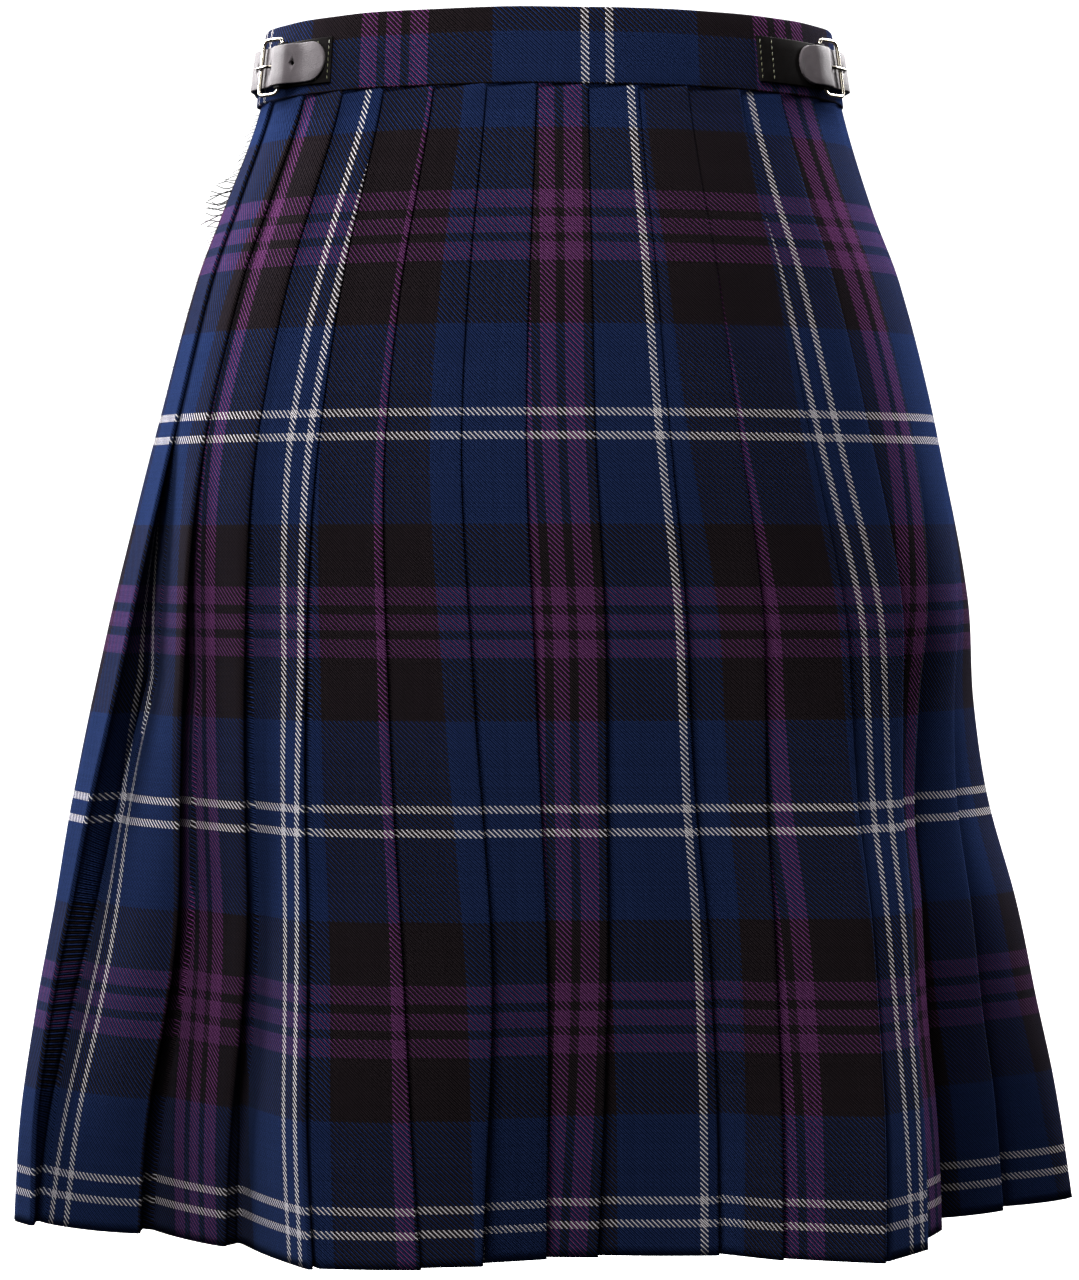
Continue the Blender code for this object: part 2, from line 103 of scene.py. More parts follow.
# One row a pleat, by its outer fold: its angle at five depths, its swing, how deep the next
# cloth lies behind the fold before it at thigh and hem, and how far its hem is lifted.
FOLD_DEPTHS = (38.0, 200.0, 330.0, 470.0, 612.0)
Fold = namedtuple("Fold", "seam hip thigh knee hem swing gap_thigh gap_hem lift")
FOLDS = [
    Fold(-69, -69, -70, -74.5, -75.5, -6, 4, 5, 0),
    Fold(-53.5, -57.5, -53.5, -50, -56, -35, 22, 10, 0),
    Fold(-41.5, -45, -41, -37, -38.5, -27, 11, 13, 0),
    Fold(-31.5, -33.5, -30.5, -26.5, -23.5, 18, 8, 12, 0),
    Fold(-21, -23, -19.5, -15.5, -12.5, 10, 6, 6, 0),
    Fold(-11, -12, -9, -6, -6.5, -2, 6, 6, 0),
    Fold(-2, -3, -1.5, 0, 0, -24, 6, 9, 0),
    Fold(7, 6.5, 7.5, 7, 5.5, -29, 6, 7, 0),
    Fold(16, 17, 18.5, 19.5, 19, -27, 6, 6, 0),
    Fold(25.5, 27.5, 29, 27, 25, -7, 6, 6, 0),
    Fold(37, 39.5, 42, 39, 35, 19, 6, 6, 0),
    Fold(48, 52.5, 54, 48, 44.5, -8, 6, 6, 0),
    Fold(59.5, 65.5, 61, 55, 55, -40, 7, 8, 2),
    Fold(74, 79, 76, 70.5, 75, -34, 10, 16, 6),
    Fold(87, 93, 91, 91, 95.5, 2, 7, 12, 6),
    Fold(99, 106, 104, 106, 113, 0, 7, 8, 4),
    Fold(111, 119, 118, 121, 129, 0, 7, 8, 2),
]
# Where the check lies at each fold's edge, at the same five depths: the distance past the
# middle of a pair of white lines.
FOLD_CHECK = [
    (-24.1, -20.3, -20.3, -20.3, -20.3),
    (48.2, 62.2, 55.0, 49.7, 49.7),
    (131.2, 136.1, 135.1, 129.3, 118.2),
    (194.9, 203.1, 201.2, 205.5, 207.0),
    (274.1, 276.0, 277.0, 278.4, 283.7),
    (348.4, 352.7, 352.2, 350.3, 341.6),
    (422.7, 427.0, 427.0, 427.0, 427.0),
    (502.8, 504.5, 504.2, 504.2, 505.9),
    (577.1, 578.5, 577.1, 579.5, 580.9),
    (649.9, 653.8, 648.5, 644.6, 649.0),
    (724.7, 727.6, 727.6, 724.2, 723.8),
    (797.1, 799.0, 791.3, 786.0, 785.5),
    (874.3, 874.8, 874.3, 874.3, 874.3),
    (942.8, 947.1, 947.1, 947.1, 947.1),
    (1017.1, 1021.5, 1031.1, 1035.0, 1027.7),
    (1091.4, 1095.8, 1095.8, 1095.8, 1095.8),
    (1165.7, 1170.1, 1170.1, 1170.1, 1170.1),
]
PITCH_SEWN = 1.2  # from one layer of a fold to the next
PITCH_FREE = 2.4
PITCH_POWER = 0.7
SWING_POWER = 1.5
LEAST_UNDERFOLD = 3.0
MOST_HIDDEN = 0.9  # of a pleat's face, at most, has cloth folded behind it
FACE_POINTS = 8
ROLL_STEPS = 4
LEFT_SEAM = -110.0  # the pleated part starts here, beneath the outer apron
LEFT_SIDE = -90.0
FIRST_SPAN = 29.0
FIRST_STEPS = 9
FIRST_FACE = [LEFT_SEAM + FIRST_SPAN * i / FIRST_STEPS for i in range(FIRST_STEPS + 1)]
SKIRT_ROWS = 112
APRON_COLUMNS = 120
APRON_RISE = 9.0
OUTER_EDGE = (264.0, 257.5, 252.5, 249.0, 246.5)
INNER_EDGE_PAST = 7.0
INNER_EDGE_DRIFT = 8.0

BAND_COLUMNS = 300
BAND_ROWS = 8
BAND_TURNS = (0.52, 1.05, 1.57, 2.09, 2.62)  # round its top and foot, in radians
BAND_INNER_END = 118.0
BAND_STEP = (-95.0, -87.0)  # it steps in between these, to run on beneath the outer apron
BAND_UNDER = 3.4
BAND_PAD = 0.35
BAND_SWELL = 0.45
BAND_SWELLS = 28.0  # a metre
BAND_WAVE = 0.5
BAND_WAVE_SPAN = 14.0

# The check, half a repeat in threads from the middle of the white pair to the middle of the
# purple: colours change after these many threads.
REPEAT = 193.0
REPEAT_THREADS = 302
HALF_REPEAT = REPEAT_THREADS / 2
WEFT_START = 204.0  # the depth of the first white pair down the skirt
BAND_STRETCH = 1.053  # the band is pulled tight, so its check is wider
BAND_WARP_START = 23.3  # the white pair's middle on the waistband, from the centre back
BAND_WEFT_START = 60.8  # and its weft, so that the band is cut from black into blue
BLUE = (0.0080, 0.0152, 0.0500)
BLACK = (0.0098, 0.0072, 0.0083)
PURPLE = (0.053, 0.0165, 0.052)
WARP_PURPLE = (0.073, 0.0205, 0.071)  # the upright stripes are deeper dyed
WHITE = (0.35, 0.33, 0.345)
CHECK = [
    (0, BLUE), (6, WHITE), (12, BLUE), (76, BLACK), (124, PURPLE), (138, BLACK), (144, PURPLE),
]
WARP_CHECK = [(start, WARP_PURPLE if dye == PURPLE else dye) for start, dye in CHECK]


def smooth(knots, values, at):
    """A smooth curve through the values, by cubic pieces with averaged slopes."""
    last = len(knots) - 1
    i = min(max(sum(k <= at for k in knots) - 1, 0), last - 1)
    width = knots[i + 1] - knots[i]

    def slope(j):
        low, high = max(j - 1, 0), min(j + 1, last)
        return (values[high] - values[low]) / (knots[high] - knots[low])

    t = min(max((at - knots[i]) / width, 0.0), 1.0)
    a, b = values[i], values[i + 1]
    rise = slope(i) * width * t * (1 - t) ** 2 - slope(i + 1) * width * t * t * (1 - t)
    return a + (b - a) * t * t * (3 - 2 * t) + rise


@lru_cache(maxsize=None)
def section(depth):
    knots = [row.depth for row in SECTIONS]
    return [smooth(knots, [row[i] for row in SECTIONS], depth) for i in range(1, 5)]


def freedom(depth, power):
    """0 where the pleats are sewn, growing to 1 at the hem."""
    return max(0.0, (depth - FELL) / (LENGTH - FELL)) ** power


def even_shape(angle, depth):
    """The skirt's even shape at an angle, seen from above."""
    left, right, back, front = section(depth)
    turn = math.radians(angle)
    across, along = math.sin(turn), -math.cos(turn)
    x = (right if across > 0 else left) * across
    if along <= 0:
        square = BACK_SQUARE * max(0.0, 1 - depth / FELL) ** SQUARE_POWER
        return Vector((x * (1 + square * along * along), back * along))
    x *= 1 + FRONT_SQUARE * along * along
    wave = FRONT_WAVE * freedom(depth, WAVE_POWER) * math.sin(FRONT_WAVES * turn + WAVE_TURN)
    return Vector((x, (front + wave * along * along) * along))


def outward(angle, depth):
    """The direction straight out of the even shape."""
    ahead, behind = even_shape(angle + 0.5, depth), even_shape(angle - 0.5, depth)
    run = (ahead - behind).normalized()
    return Vector((run.y, -run.x))


def height(angle, depth, lift=0.0):
    """How high a depth lies: the back of the waist is higher, and a lifted hem too."""
    rise = BACK_RISE * max(0.0, math.cos(math.radians(angle))) ** 2
    share = depth / LENGTH
    return -depth + rise * (1 - share) + lift * share**3


def softened(place, angle, depth, lift=0.0):
    """A cloth point with the soft hollows and swells that worn wool hangs in, in metres."""
    z = height(angle, depth, lift)
    free = freedom(depth, SWELL_POWER)
    swell = 0.0
    for soft in SWELLS:
        at = Vector((place.x / soft.wide + soft.shift, place.y / soft.wide, z / soft.tall))
        swell += (soft.sewn + soft.free * free) * noise.noise(at)
    moved = place + outward(angle, depth) * swell
    return Vector((moved.x, moved.y, z)) * MM


def on_shape(angle, depth, out=0.0):
    place = even_shape(angle, depth) + outward(angle, depth) * out
    return Vector((place.x, place.y, height(angle, depth))) * MM


def fold_angle(fold, depth):
    return smooth(FOLD_DEPTHS, fold[:5], depth)


def fold_place(fold, depth):
    angle = fold_angle(fold, depth)
    swing = fold.swing * freedom(depth, SWING_POWER)
    return even_shape(angle, depth) + outward(angle, depth) * swing


def pitch_at(depth):
    return PITCH_SEWN + (PITCH_FREE - PITCH_SEWN) * freedom(depth, PITCH_POWER)


def fold_gap(fold, depth):
    """How deep a pleat's face starts behind the fold before it."""
    pitch = pitch_at(depth)
    if depth <= FELL:
        return 2 * pitch
    thigh = FOLD_DEPTHS[2]
    if depth < thigh:
        share = (depth - FELL) / (thigh - FELL)
        return 2 * pitch + (fold.gap_thigh - 2 * pitch) * share
    share = (depth - thigh) / (LENGTH - thigh)
    return fold.gap_thigh + (fold.gap_hem - fold.gap_thigh) * share


def rounded(centre, radius, along, inward):
    """Points round a fold, from its face to its back."""
    found = []
    for i in range(ROLL_STEPS + 1):
        turn = math.pi * i / ROLL_STEPS
        found.append(centre + along * radius * math.sin(turn) - inward * radius * math.cos(turn))
    return found


def first_face(depth):
    """The left end of the pleated cloth, sunk most where the outer apron lies over it."""
    face = []
    for angle in FIRST_FACE:
        sunk = UNDERLAP if angle < LEFT_SIDE else UNDERLAP / 2
        face.append((even_shape(angle, depth) - outward(angle, depth) * sunk, angle, 0.0))
    return face


def crown_height(angle, previous_angle, depth):
    """How far the even shape rises over the straight line between two angles."""
    chord = (even_shape(angle, depth) + even_shape(previous_angle, depth)) / 2
    return (even_shape((angle + previous_angle) / 2, depth) - chord).length


def face_marks(face, edge_mark):
    """The face's places along the cloth, measured back from its edge."""
    marks = [edge_mark]
    for (point, *_), (beyond, *_) in zip(face[-2::-1], face[:0:-1]):
        marks.append(marks[-1] - (beyond - point).length)
    return marks[::-1]


def pleated_row(depth):
    """One level of the pleated cloth, left to right: (place, angle, lift, along the cloth)."""
    pitch = pitch_at(depth)
    half_roll = ROLL_STEPS // 2 + 1
    face = first_face(depth)
    row, hidden = [], []
    for number, fold in enumerate(FOLDS):
        previous, previous_angle, _ = face[-1]
        edge, angle = fold_place(fold, depth), fold_angle(fold, depth)
        reach = (edge - previous).length
        along = (edge - previous).normalized()
        inward = Vector((-along.y, along.x))
        crown = crown_height(angle, previous_angle, depth) if number else 0.0
        for i in range(1, FACE_POINTS):
            share = i / FACE_POINTS
            bulge = crown * 4 * share * (1 - share)
            middle = previous.lerp(edge, share) - inward * bulge
            face.append((middle, previous_angle + (angle - previous_angle) * share, fold.lift))
        roll = rounded(edge - along * pitch / 2 + inward * pitch / 2, pitch / 2, along, inward)
        face += [(point, angle, fold.lift) for point in roll[:half_roll]]
        marks = face_marks(face, smooth(FOLD_DEPTHS, FOLD_CHECK[number], depth))
        if row:
            spread_marks(row, hidden, row[-1][3], marks[0])
        row += [(*point, mark) for point, mark in zip(face, marks)]

        following = FOLDS[min(number + 1, len(FOLDS) - 1)]
        gap = fold_gap(following, depth)
        start = edge + inward * gap
        width = TAKE_UP / 2
        if number + 1 < len(FOLDS):
            width = (fold_place(following, depth) - start).length
        under = min(max((TAKE_UP - width) / 2, LEAST_UNDERFOLD), MOST_HIDDEN * reach)
        turn = edge.lerp(previous, under / reach)
        inner = turn + inward * (gap - pitch)
        back = roll[half_roll:]
        back += [roll[-1].lerp(inner, share) for share in (0.25, 0.5, 0.75)]
        back += rounded(turn + inward * (gap - pitch / 2), pitch / 2, -along, inward)
        back += [back[-1].lerp(start, share) for share in (0.33, 0.67)]
        hidden = [(point, angle, fold.lift) for point in back]
        face = [(start, angle, following.lift)]
    last = row[-1][3]
    hidden.append((start, angle, fold.lift))
    spread_marks(row, hidden, last, last + TAKE_UP / 2)
    return row


def spread_marks(row, hidden, start, end):
    """Adds a hidden stretch of cloth, its marks spread evenly from start to end."""
    steps, before = [0.0], row[-1][0]
    for point, *_ in hidden:
        steps.append(steps[-1] + (point - before).length)
        before = point
    whole = steps[-1] + 1.0
    for entry, step in zip(hidden, steps[1:]):
        row.append((*entry, start + (end - start) * step / whole))


def shown(name, data, finish):
    made = bpy.data.objects.new(name, data)
    made.data.materials.append(finish.made)
    bpy.context.scene.collection.objects.link(made)
    return made


def meshed(name, shape, finish):
    """The object made of a bmesh, which is used up."""
    mesh = bpy.data.meshes.new(name)
    shape.to_mesh(mesh)
    shape.free()
    return shown(name, mesh, finish)


def loft(shape, rings):
    """Smooth walls from each closed ring to the next, and a flat face over either end."""
    walls = []
    for a, b in zip(rings, rings[1:]):
        for i in range(len(a)):
            j = (i + 1) % len(a)
            walls.append(shape.faces.new((a[i], a[j], b[j], b[i])))
            walls[-1].smooth = True
    return walls, [shape.faces.new(rings[0][::-1]), shape.faces.new(rings[-1])]


def cloth_sheet(name, rows):
    """A sheet lofted through rows of (place, along, down), with its check in its UV map."""
    sheet = bmesh.new()
    check = sheet.loops.layers.uv.new("check")
    marks = {}
    grid = []
    for row in rows:
        line = []
        for place, along, down in row:
            vert = sheet.verts.new(place)
            marks[vert] = (along * MM, down * MM)
            line.append(vert)
        grid.append(line)
    for upper, lower in zip(grid, grid[1:]):
        for i in range(len(upper) - 1):
            face = sheet.faces.new((upper[i], lower[i], lower[i + 1], upper[i + 1]))
            face.smooth = True
            for loop in face.loops:
                loop[check].uv = marks[loop.vert]
    made = meshed(name, sheet, wool)
    thicken = made.modifiers.new("Cloth", "SOLIDIFY")
    thicken.thickness = CLOTH * MM
    thicken.offset = 0.0
    thicken.use_even_offset = True
    return made


def stands_for(piece, node):
    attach(piece, "root")
    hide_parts(node)


# ---- finishes ----


class Value:
    """A number that varies over a surface: arithmetic on it adds Math nodes."""

    def __init__(self, finish, socket):
        self.finish = finish
        self.socket = socket

    def math(self, operation, *others, first=None):
        terms = [self if first is None else first, *others]
        return self.finish.node("ShaderNodeMath", {"operation": operation}, dict(enumerate(terms)))

    def __add__(self, other):
        return self.math("ADD", other)

    def __radd__(self, other):
        return self.math("ADD", other)

    def __sub__(self, other):
        return self.math("SUBTRACT", other)

    def __rsub__(self, other):
        return self.math("SUBTRACT", self, first=other)

    def __mul__(self, other):
        return self.math("MULTIPLY", other)

    def __rmul__(self, other):
        return self.math("MULTIPLY", other)

    def __truediv__(self, other):
        return self.math("DIVIDE", other)

    def __mod__(self, other):
        return self.math("FLOORED_MODULO", other)

    def __lt__(self, other):
        return self.math("LESS_THAN", other)

    def floor(self):
        return self.math("FLOOR")


class Finish:
    """A material, with the one way that nodes are added to it."""

    def __init__(self, name, **surface):
        self.made = bpy.data.materials.new(name)
        self.made.use_nodes = True
        self.tree = self.made.node_tree
        self.shader = self.tree.nodes["Principled BSDF"]
        for socket, value in surface.items():
            self.shader.inputs[socket.replace("_", " ")].default_value = value

    def node(self, kind, settings=None, sockets=None, output=0):
        made = self.tree.nodes.new(kind)
        for name, value in (settings or {}).items():
            if name == "stops":
                self.fill_ramp(made.color_ramp, value)
            else:
                setattr(made, name, value)
        for name, value in (sockets or {}).items():
            self.put(made.inputs[name], value)
        return Value(self, made.outputs[output])

    def fill_ramp(self, ramp, stops):
        ramp.interpolation = "CONSTANT"
        while len(ramp.elements) < len(stops):
            ramp.elements.new(1.0)
        for element, (place, color) in zip(ramp.elements, stops):
            element.position = place
            element.color = (*color, 1.0)

    def put(self, socket, value):
        if isinstance(value, Value):
            self.tree.links.new(value.socket, socket)
        else:
            socket.default_value = value

    def feed(self, **sockets):
        for name, value in sockets.items():
            self.put(self.shader.inputs[name.replace("_", " ")], value)

    def blend(self, share, a, b):
        ends = {6: a, 7: b}
        return self.node("ShaderNodeMix", {"data_type": "RGBA"}, {0: share, **ends}, 2)

    def scaled(self, color, by):
        return self.node("ShaderNodeVectorMath", {"operation": "SCALE"}, {0: color, "Scale": by})

    def darker(self, a, b):
        return self.node("ShaderNodeVectorMath", {"operation": "MINIMUM"}, {0: a, 1: b})

    def place(self):
        return self.node("ShaderNodeTexCoord", output="Object")

    def cloud(self, scale, detail=3.0, stretch=None):
        """Soft noise round 0.5, at so many swells a metre."""
        at = self.place()
        if stretch:
            at = self.node("ShaderNodeMapping", {}, {"Vector": at, "Scale": stretch})
        wanted = {"Vector": at, "Scale": scale, "Detail": detail}
        return self.node("ShaderNodeTexNoise", {}, wanted)

    def relief(self, height, distance, strength=1.0):
        wanted = {"Height": height, "Distance": distance, "Strength": strength}
        self.feed(Normal=self.node("ShaderNodeBump", {}, wanted))


DYE_LEAST, DYE_SPREAD = 0.86, 0.28  # how light a thread is, against its dye
TWILL = 4  # the weave repeats after so many threads, and half of them pass over
GAP_SHADE = 0.05
FLANK_LIGHT = 0.45
WOOL_LIGHT = 1.36
FIBRES = 2600.0  # a metre
BLOOMS = 14.0
HAZE = 0.006
HAZE_COLOR = (0.34, 0.34, 0.42, 1.0)
SHEEN_TINT = (0.35, 0.5, 1.0, 1.0)
PER_METRE = REPEAT_THREADS / (REPEAT * MM)


def yarn_color(finish, threads, check):
    """The dyed colour of each thread across the check, a little uneven from thread to thread."""
    number = threads.floor()
    across = (number + 0.5).math("PINGPONG", HALF_REPEAT) / HALF_REPEAT
    stops = [(start / HALF_REPEAT, color) for start, color in check]
    dyed = finish.node("ShaderNodeValToRGB", {"stops": stops}, {0: across})
    uneven = finish.node("ShaderNodeTexWhiteNoise", {"noise_dimensions": "1D"}, {"W": number})
    return finish.scaled(dyed, DYE_LEAST + DYE_SPREAD * uneven)


def crown_of(threads):
    """1 along the middle of each thread and 0 between two."""
    side = (threads - threads.floor()) * 2 - 1
    return 1 - side * side


def woven_wool():
    finish = Finish("woven_wool", Sheen_Weight=0.02, Sheen_Roughness=0.3, Specular_IOR_Level=0.0)
    finish.shader.inputs["Sheen Tint"].default_value = SHEEN_TINT
    at = finish.node("ShaderNodeUVMap", {"uv_map": "check"})
    along = finish.node("ShaderNodeSeparateXYZ", {}, {0: at}, 0)
    down = finish.node("ShaderNodeSeparateXYZ", {}, {0: at}, 1)
    warp, weft = along * PER_METRE, down * PER_METRE
    raised = (warp.floor() - weft.floor()) % TWILL < TWILL / 2
    across, lengthwise = yarn_color(finish, weft, CHECK), yarn_color(finish, warp, WARP_CHECK)
    crown = raised * crown_of(warp) + (1 - raised) * crown_of(weft)
    # Between the twill's diagonals lie gaps, where the darker yarn shows in shade.
    slope = (warp - weft - 0.5) * math.pi
    wale = 0.5 + 0.5 * slope.math("COSINE")
    flank = (slope * 0.5).math("SINE")  # one flank of each diagonal is lit, the other shaded
    gap = finish.scaled(finish.darker(across, lengthwise), GAP_SHADE)
    color = finish.blend(wale, gap, finish.blend(raised, across, lengthwise))
    wool = finish.cloud(FIBRES, 2.0)
    bloom = finish.cloud(BLOOMS, 3.0)
    # Painted shade and light: the crown term darkens the colour between threads, and the flank term
    # paints one flank of each diagonal lit and the other shaded. The wool and bloom terms are
    # random tone.
    uneven = (0.55 + 0.68 * crown) * (0.42 + 1.16 * wool) * (0.84 + 0.32 * bloom)
    uneven = uneven * (1 + FLANK_LIGHT * flank)
    color = finish.scaled(color, WOOL_LIGHT * uneven)
    haze = (wool - 0.35) * HAZE
    finish.feed(Base_Color=finish.blend(haze, color, HAZE_COLOR))
    finish.feed(Roughness=0.80 + 0.16 * wool)
    finish.relief(0.8 * wale + 0.4 * crown + 0.4 * wool, 0.00018, 0.9)
    return finish


def loose_yarn():
    finish = Finish("loose_yarn", Roughness=0.9, Specular_IOR_Level=0.1)
    at = finish.node("ShaderNodeUVMap", {"uv_map": "check"})
    down = finish.node("ShaderNodeSeparateXYZ", {}, {0: at}, 1)
    twist = finish.cloud(1800.0, 2.0)
    color = yarn_color(finish, down * PER_METRE, CHECK)
    # Painted shade: the loose threads are coloured much darker than the same yarns in the cloth,
    # and the twist noise varies this at random.
    finish.feed(Base_Color=finish.scaled(color, 0.35 + 0.6 * twist))
    finish.relief(twist, 0.0002)
    return finish


def strap_leather(name, color, gloss, shine, roughness):
    """Finished hide: fine grain, rubbed lighter here and there."""
    finish = Finish(name, Specular_IOR_Level=gloss, Coat_Weight=shine, Coat_Roughness=0.3)
    pores = finish.node("ShaderNodeTexVoronoi", {}, {"Vector": finish.place(), "Scale": 1500.0})
    rubbed = finish.cloud(160.0, 4.0)
    crease = finish.cloud(420.0, 3.0, stretch=(1.0, 1.0, 0.25))
    lighter = tuple(min(1.0, channel * 1.9 + 0.004) for channel in color)
    finish.feed(Base_Color=finish.blend(rubbed * 0.9, (*color, 1.0), (*lighter, 1.0)))
    finish.feed(Roughness=roughness - 0.12 + 0.24 * rubbed)
    finish.relief(pores + 0.8 * crease, 0.00012, 0.6)
    return finish


def plated_metal(name, color, rubbed):
    """Polished plating, with scratches and patches that are rubbed paler."""
    finish = Finish(name, Metallic=1.0)
    worn = finish.cloud(240.0, 4.0)
    scratch = finish.cloud(900.0, 2.0, stretch=(1.0, 1.0, 0.08))
    color = finish.blend(worn, color, rubbed)
    finish.feed(Base_Color=color, Roughness=0.14 + 0.22 * worn * scratch)
    finish.relief(scratch, 0.00003, 0.5)
    return finish


def waxed_thread():
    finish = Finish("waxed_thread", Roughness=0.6, Coat_Weight=0.2)
    strand = finish.cloud(2500.0, 2.0)
    color = finish.blend(strand, (0.030, 0.032, 0.012, 1.0), (0.14, 0.14, 0.07, 1.0))
    finish.feed(Base_Color=color)
    finish.relief(strand, 0.0001)
    return finish


# ---- the skirt ----


def weft_mark(depth):
    return depth - WEFT_START


def skirt_depths():
    top = BAND_HEIGHT - TUCK
    return [top + (LENGTH - top) * i / (SKIRT_ROWS - 1) for i in range(SKIRT_ROWS)]


def build_skirt():
    pleats, outer, inner = [], [], []
    for depth in skirt_depths():
        down = weft_mark(depth)
        row = pleated_row(depth)
        line = [(softened(at, angle, depth, lift), mark, down) for at, angle, lift, mark in row]
        pleats.append(line)
        seam = line[-1][0]
        last_fold = fold_angle(FOLDS[-1], depth)
        free_edge = smooth(FOLD_DEPTHS, OUTER_EDGE, depth)
        panel = apron_line(depth, last_fold, free_edge, fold_gap(FOLDS[-1], depth))
        first = panel[1][0] - seam
        panel[0] = (seam + first.normalized() * SEAM_GAP * MM, *panel[0][1:])
        outer.append(panel)
        hidden_edge = last_fold + INNER_EDGE_PAST + INNER_EDGE_DRIFT * freedom(depth, 1.0)
        left_seam = 360 + LEFT_SEAM - math.degrees(SEAM_GAP / section(depth)[2])
        inner.append(apron_line(depth, hidden_edge, left_seam, None))
    made = {}
    for name, rows in (("pleated_back", pleats), ("outer_apron", outer), ("inner_apron", inner)):
        made[name] = cloth_sheet("wool_" + name, rows)
        stands_for(made[name], name)
    return made


def apron_line(depth, first, last, sunk):
    """One level of a front panel: the check's lines run straight down from the centre front."""
    places = []
    for i in range(APRON_COLUMNS):
        angle = first + (last - first) * i / (APRON_COLUMNS - 1)
        rise = -UNDERLAP if sunk is None else -sunk * max(0.0, 1 - (angle - first) / APRON_RISE)
        places.append((even_shape(angle, depth) + outward(angle, depth) * rise, angle))
    marks = [0.0]
    for (a, _), (b, _) in zip(places, places[1:]):
        marks.append(marks[-1] + (b - a).length)
    middle = min(range(APRON_COLUMNS), key=lambda i: abs(places[i][1] - 180.0))
    zero = marks[middle] + places[middle][0].x
    down = weft_mark(depth)
    return [
        (softened(at, angle, depth), mark - zero, down) for (at, angle), mark in zip(places, marks)
    ]


# ---- the waistband ----


class BandRun:
    """Distances along the waistband's outside, from the centre back round one side."""

    STEP = 0.5
    STEPS = 300

    def __init__(self, sign):
        self.sign = sign
        self.lengths = [0.0]
        for i in range(1, self.STEPS):
            run = self.even(i * self.STEP) - self.even((i - 1) * self.STEP)
            self.lengths.append(self.lengths[-1] + run.length)

    def even(self, angle):
        return even_shape(self.sign * angle, BAND_HEIGHT / 2)

    def distance(self, angle):
        i = int(angle / self.STEP)
        share = angle / self.STEP - i
        return self.lengths[i] + (self.lengths[i + 1] - self.lengths[i]) * share

    def angle(self, distance):
        i = max(sum(length <= distance for length in self.lengths) - 1, 0)
        share = (distance - self.lengths[i]) / (self.lengths[i + 1] - self.lengths[i])
        return (i + share) * self.STEP

    def point(self, distance, out, up):
        """A point at a distance round, out from the band's face, and up from the straps' line."""
        angle = self.sign * self.angle(distance)
        top = on_shape(angle, 0.0, BAND_WALL / 2 + out)
        low = on_shape(angle, BAND_HEIGHT, BAND_WALL / 2 + out)
        return top.lerp(low, 0.5 + (FASTENING_DROP - up) / BAND_HEIGHT)


def band_section():
    """The waistband's closed outline as (out, depth): up its outside, over, down and under."""
    half = BAND_WALL / 2
    low = BAND_HEIGHT - half
    outside = [(half, low - (low - half) * i / (BAND_ROWS - 1)) for i in range(BAND_ROWS)]
    over = [(half * math.cos(a), half - half * math.sin(a)) for a in BAND_TURNS]
    inside = [(-out, depth) for out, depth in reversed(outside)]
    under = [(-half * math.cos(a), low + half * math.sin(a)) for a in BAND_TURNS]
    return outside + over + inside + under


def band_place(angle, out, depth):
    """A point of the waistband, a little uneven, and sunk where it runs on beneath."""
    step = min(max((BAND_STEP[1] - angle) / (BAND_STEP[1] - BAND_STEP[0]), 0.0), 1.0)
    sunk = BAND_UNDER * step * step * (3 - 2 * step)
    share = depth / BAND_HEIGHT
    pad = BAND_PAD * math.sin(math.pi * share) * (out > 0)
    top = on_shape(angle, 0.0, out + pad - sunk)
    bottom = on_shape(angle, BAND_HEIGHT, out + pad - sunk)
    place = top.lerp(bottom, share)
    swell = noise.noise(place * BAND_SWELLS) * BAND_SWELL * MM
    turn = outward(angle, 0.0)
    place += Vector((turn.x, turn.y, 0.0)) * swell
    wave = noise.noise(Vector((angle / BAND_WAVE_SPAN, 3.0, 7.0)))
    place.z += wave * BAND_WAVE * MM
    return place


def build_waistband():
    """A stiffened strip folded over its top edge, with its ends lapped at the left side."""
    ring = band_section()
    marks = [0.0]
    for (out, depth), (beyond, further) in zip(ring, ring[1:] + ring[:1]):
        marks.append(marks[-1] + math.hypot(out - beyond, depth - further))
    span = (BAND_INNER_END - 360) - OUTER_EDGE[0]
    angles = [OUTER_EDGE[0] + span * i / (BAND_COLUMNS - 1) for i in range(BAND_COLUMNS)]
    middles = [even_shape(angle, BAND_HEIGHT / 2) for angle in angles]
    along = [0.0]
    for a, b in zip(middles, middles[1:]):
        along.append(along[-1] - (b - a).length)
    back = min(range(BAND_COLUMNS), key=lambda i: abs(angles[i]))
    foot = BAND_HEIGHT - BAND_WALL / 2

    strip = bmesh.new()
    check = strip.loops.layers.uv.new("check")
    rings = []
    for angle in angles:
        rings.append([strip.verts.new(band_place(angle, out, depth)) for out, depth in ring])
    walls, _ = loft(strip, rings)
    for number, face in enumerate(walls):
        column, i = divmod(number, len(ring))
        corners = ((column, i), (column, i + 1), (column + 1, i + 1), (column + 1, i))
        for loop, (across, round_strip) in zip(face.loops, corners):
            warp = (along[across] - along[back]) / BAND_STRETCH - BAND_WARP_START
            weft = foot - marks[round_strip] - BAND_WEFT_START
            loop[check].uv = (warp * MM, weft * MM)
    bmesh.ops.recalc_face_normals(strip, faces=strip.faces)
    piece = meshed("wool_waistband", strip, wool)
    stands_for(piece, "waistband")


# ---- the frayed edge ----

FRAY_STRIP = 3.0
FRAY_ROWS = 60
FRAY_TOP, FRAY_FOOT = BAND_HEIGHT + 1.0, LENGTH - 1.5
FRAY_LOWEST = LENGTH - 0.5
FRAY_LENGTH = 17.0
FRAY_STRANDS = 330
FRAY_ROOT = 0.4  # the threads start this far past the seam, and half as far off the cloth
FRAY_STRAY = 3.2
FRAY_DROOP = (2.0, 3.0, 1.8)  # by how much each sinks, strays further and starts aslant
FRAY_CURL = 0.25  # of its lift, in waves along its length
FRAY_WAVES, FRAY_WAVE_START = 5.0, 12.0
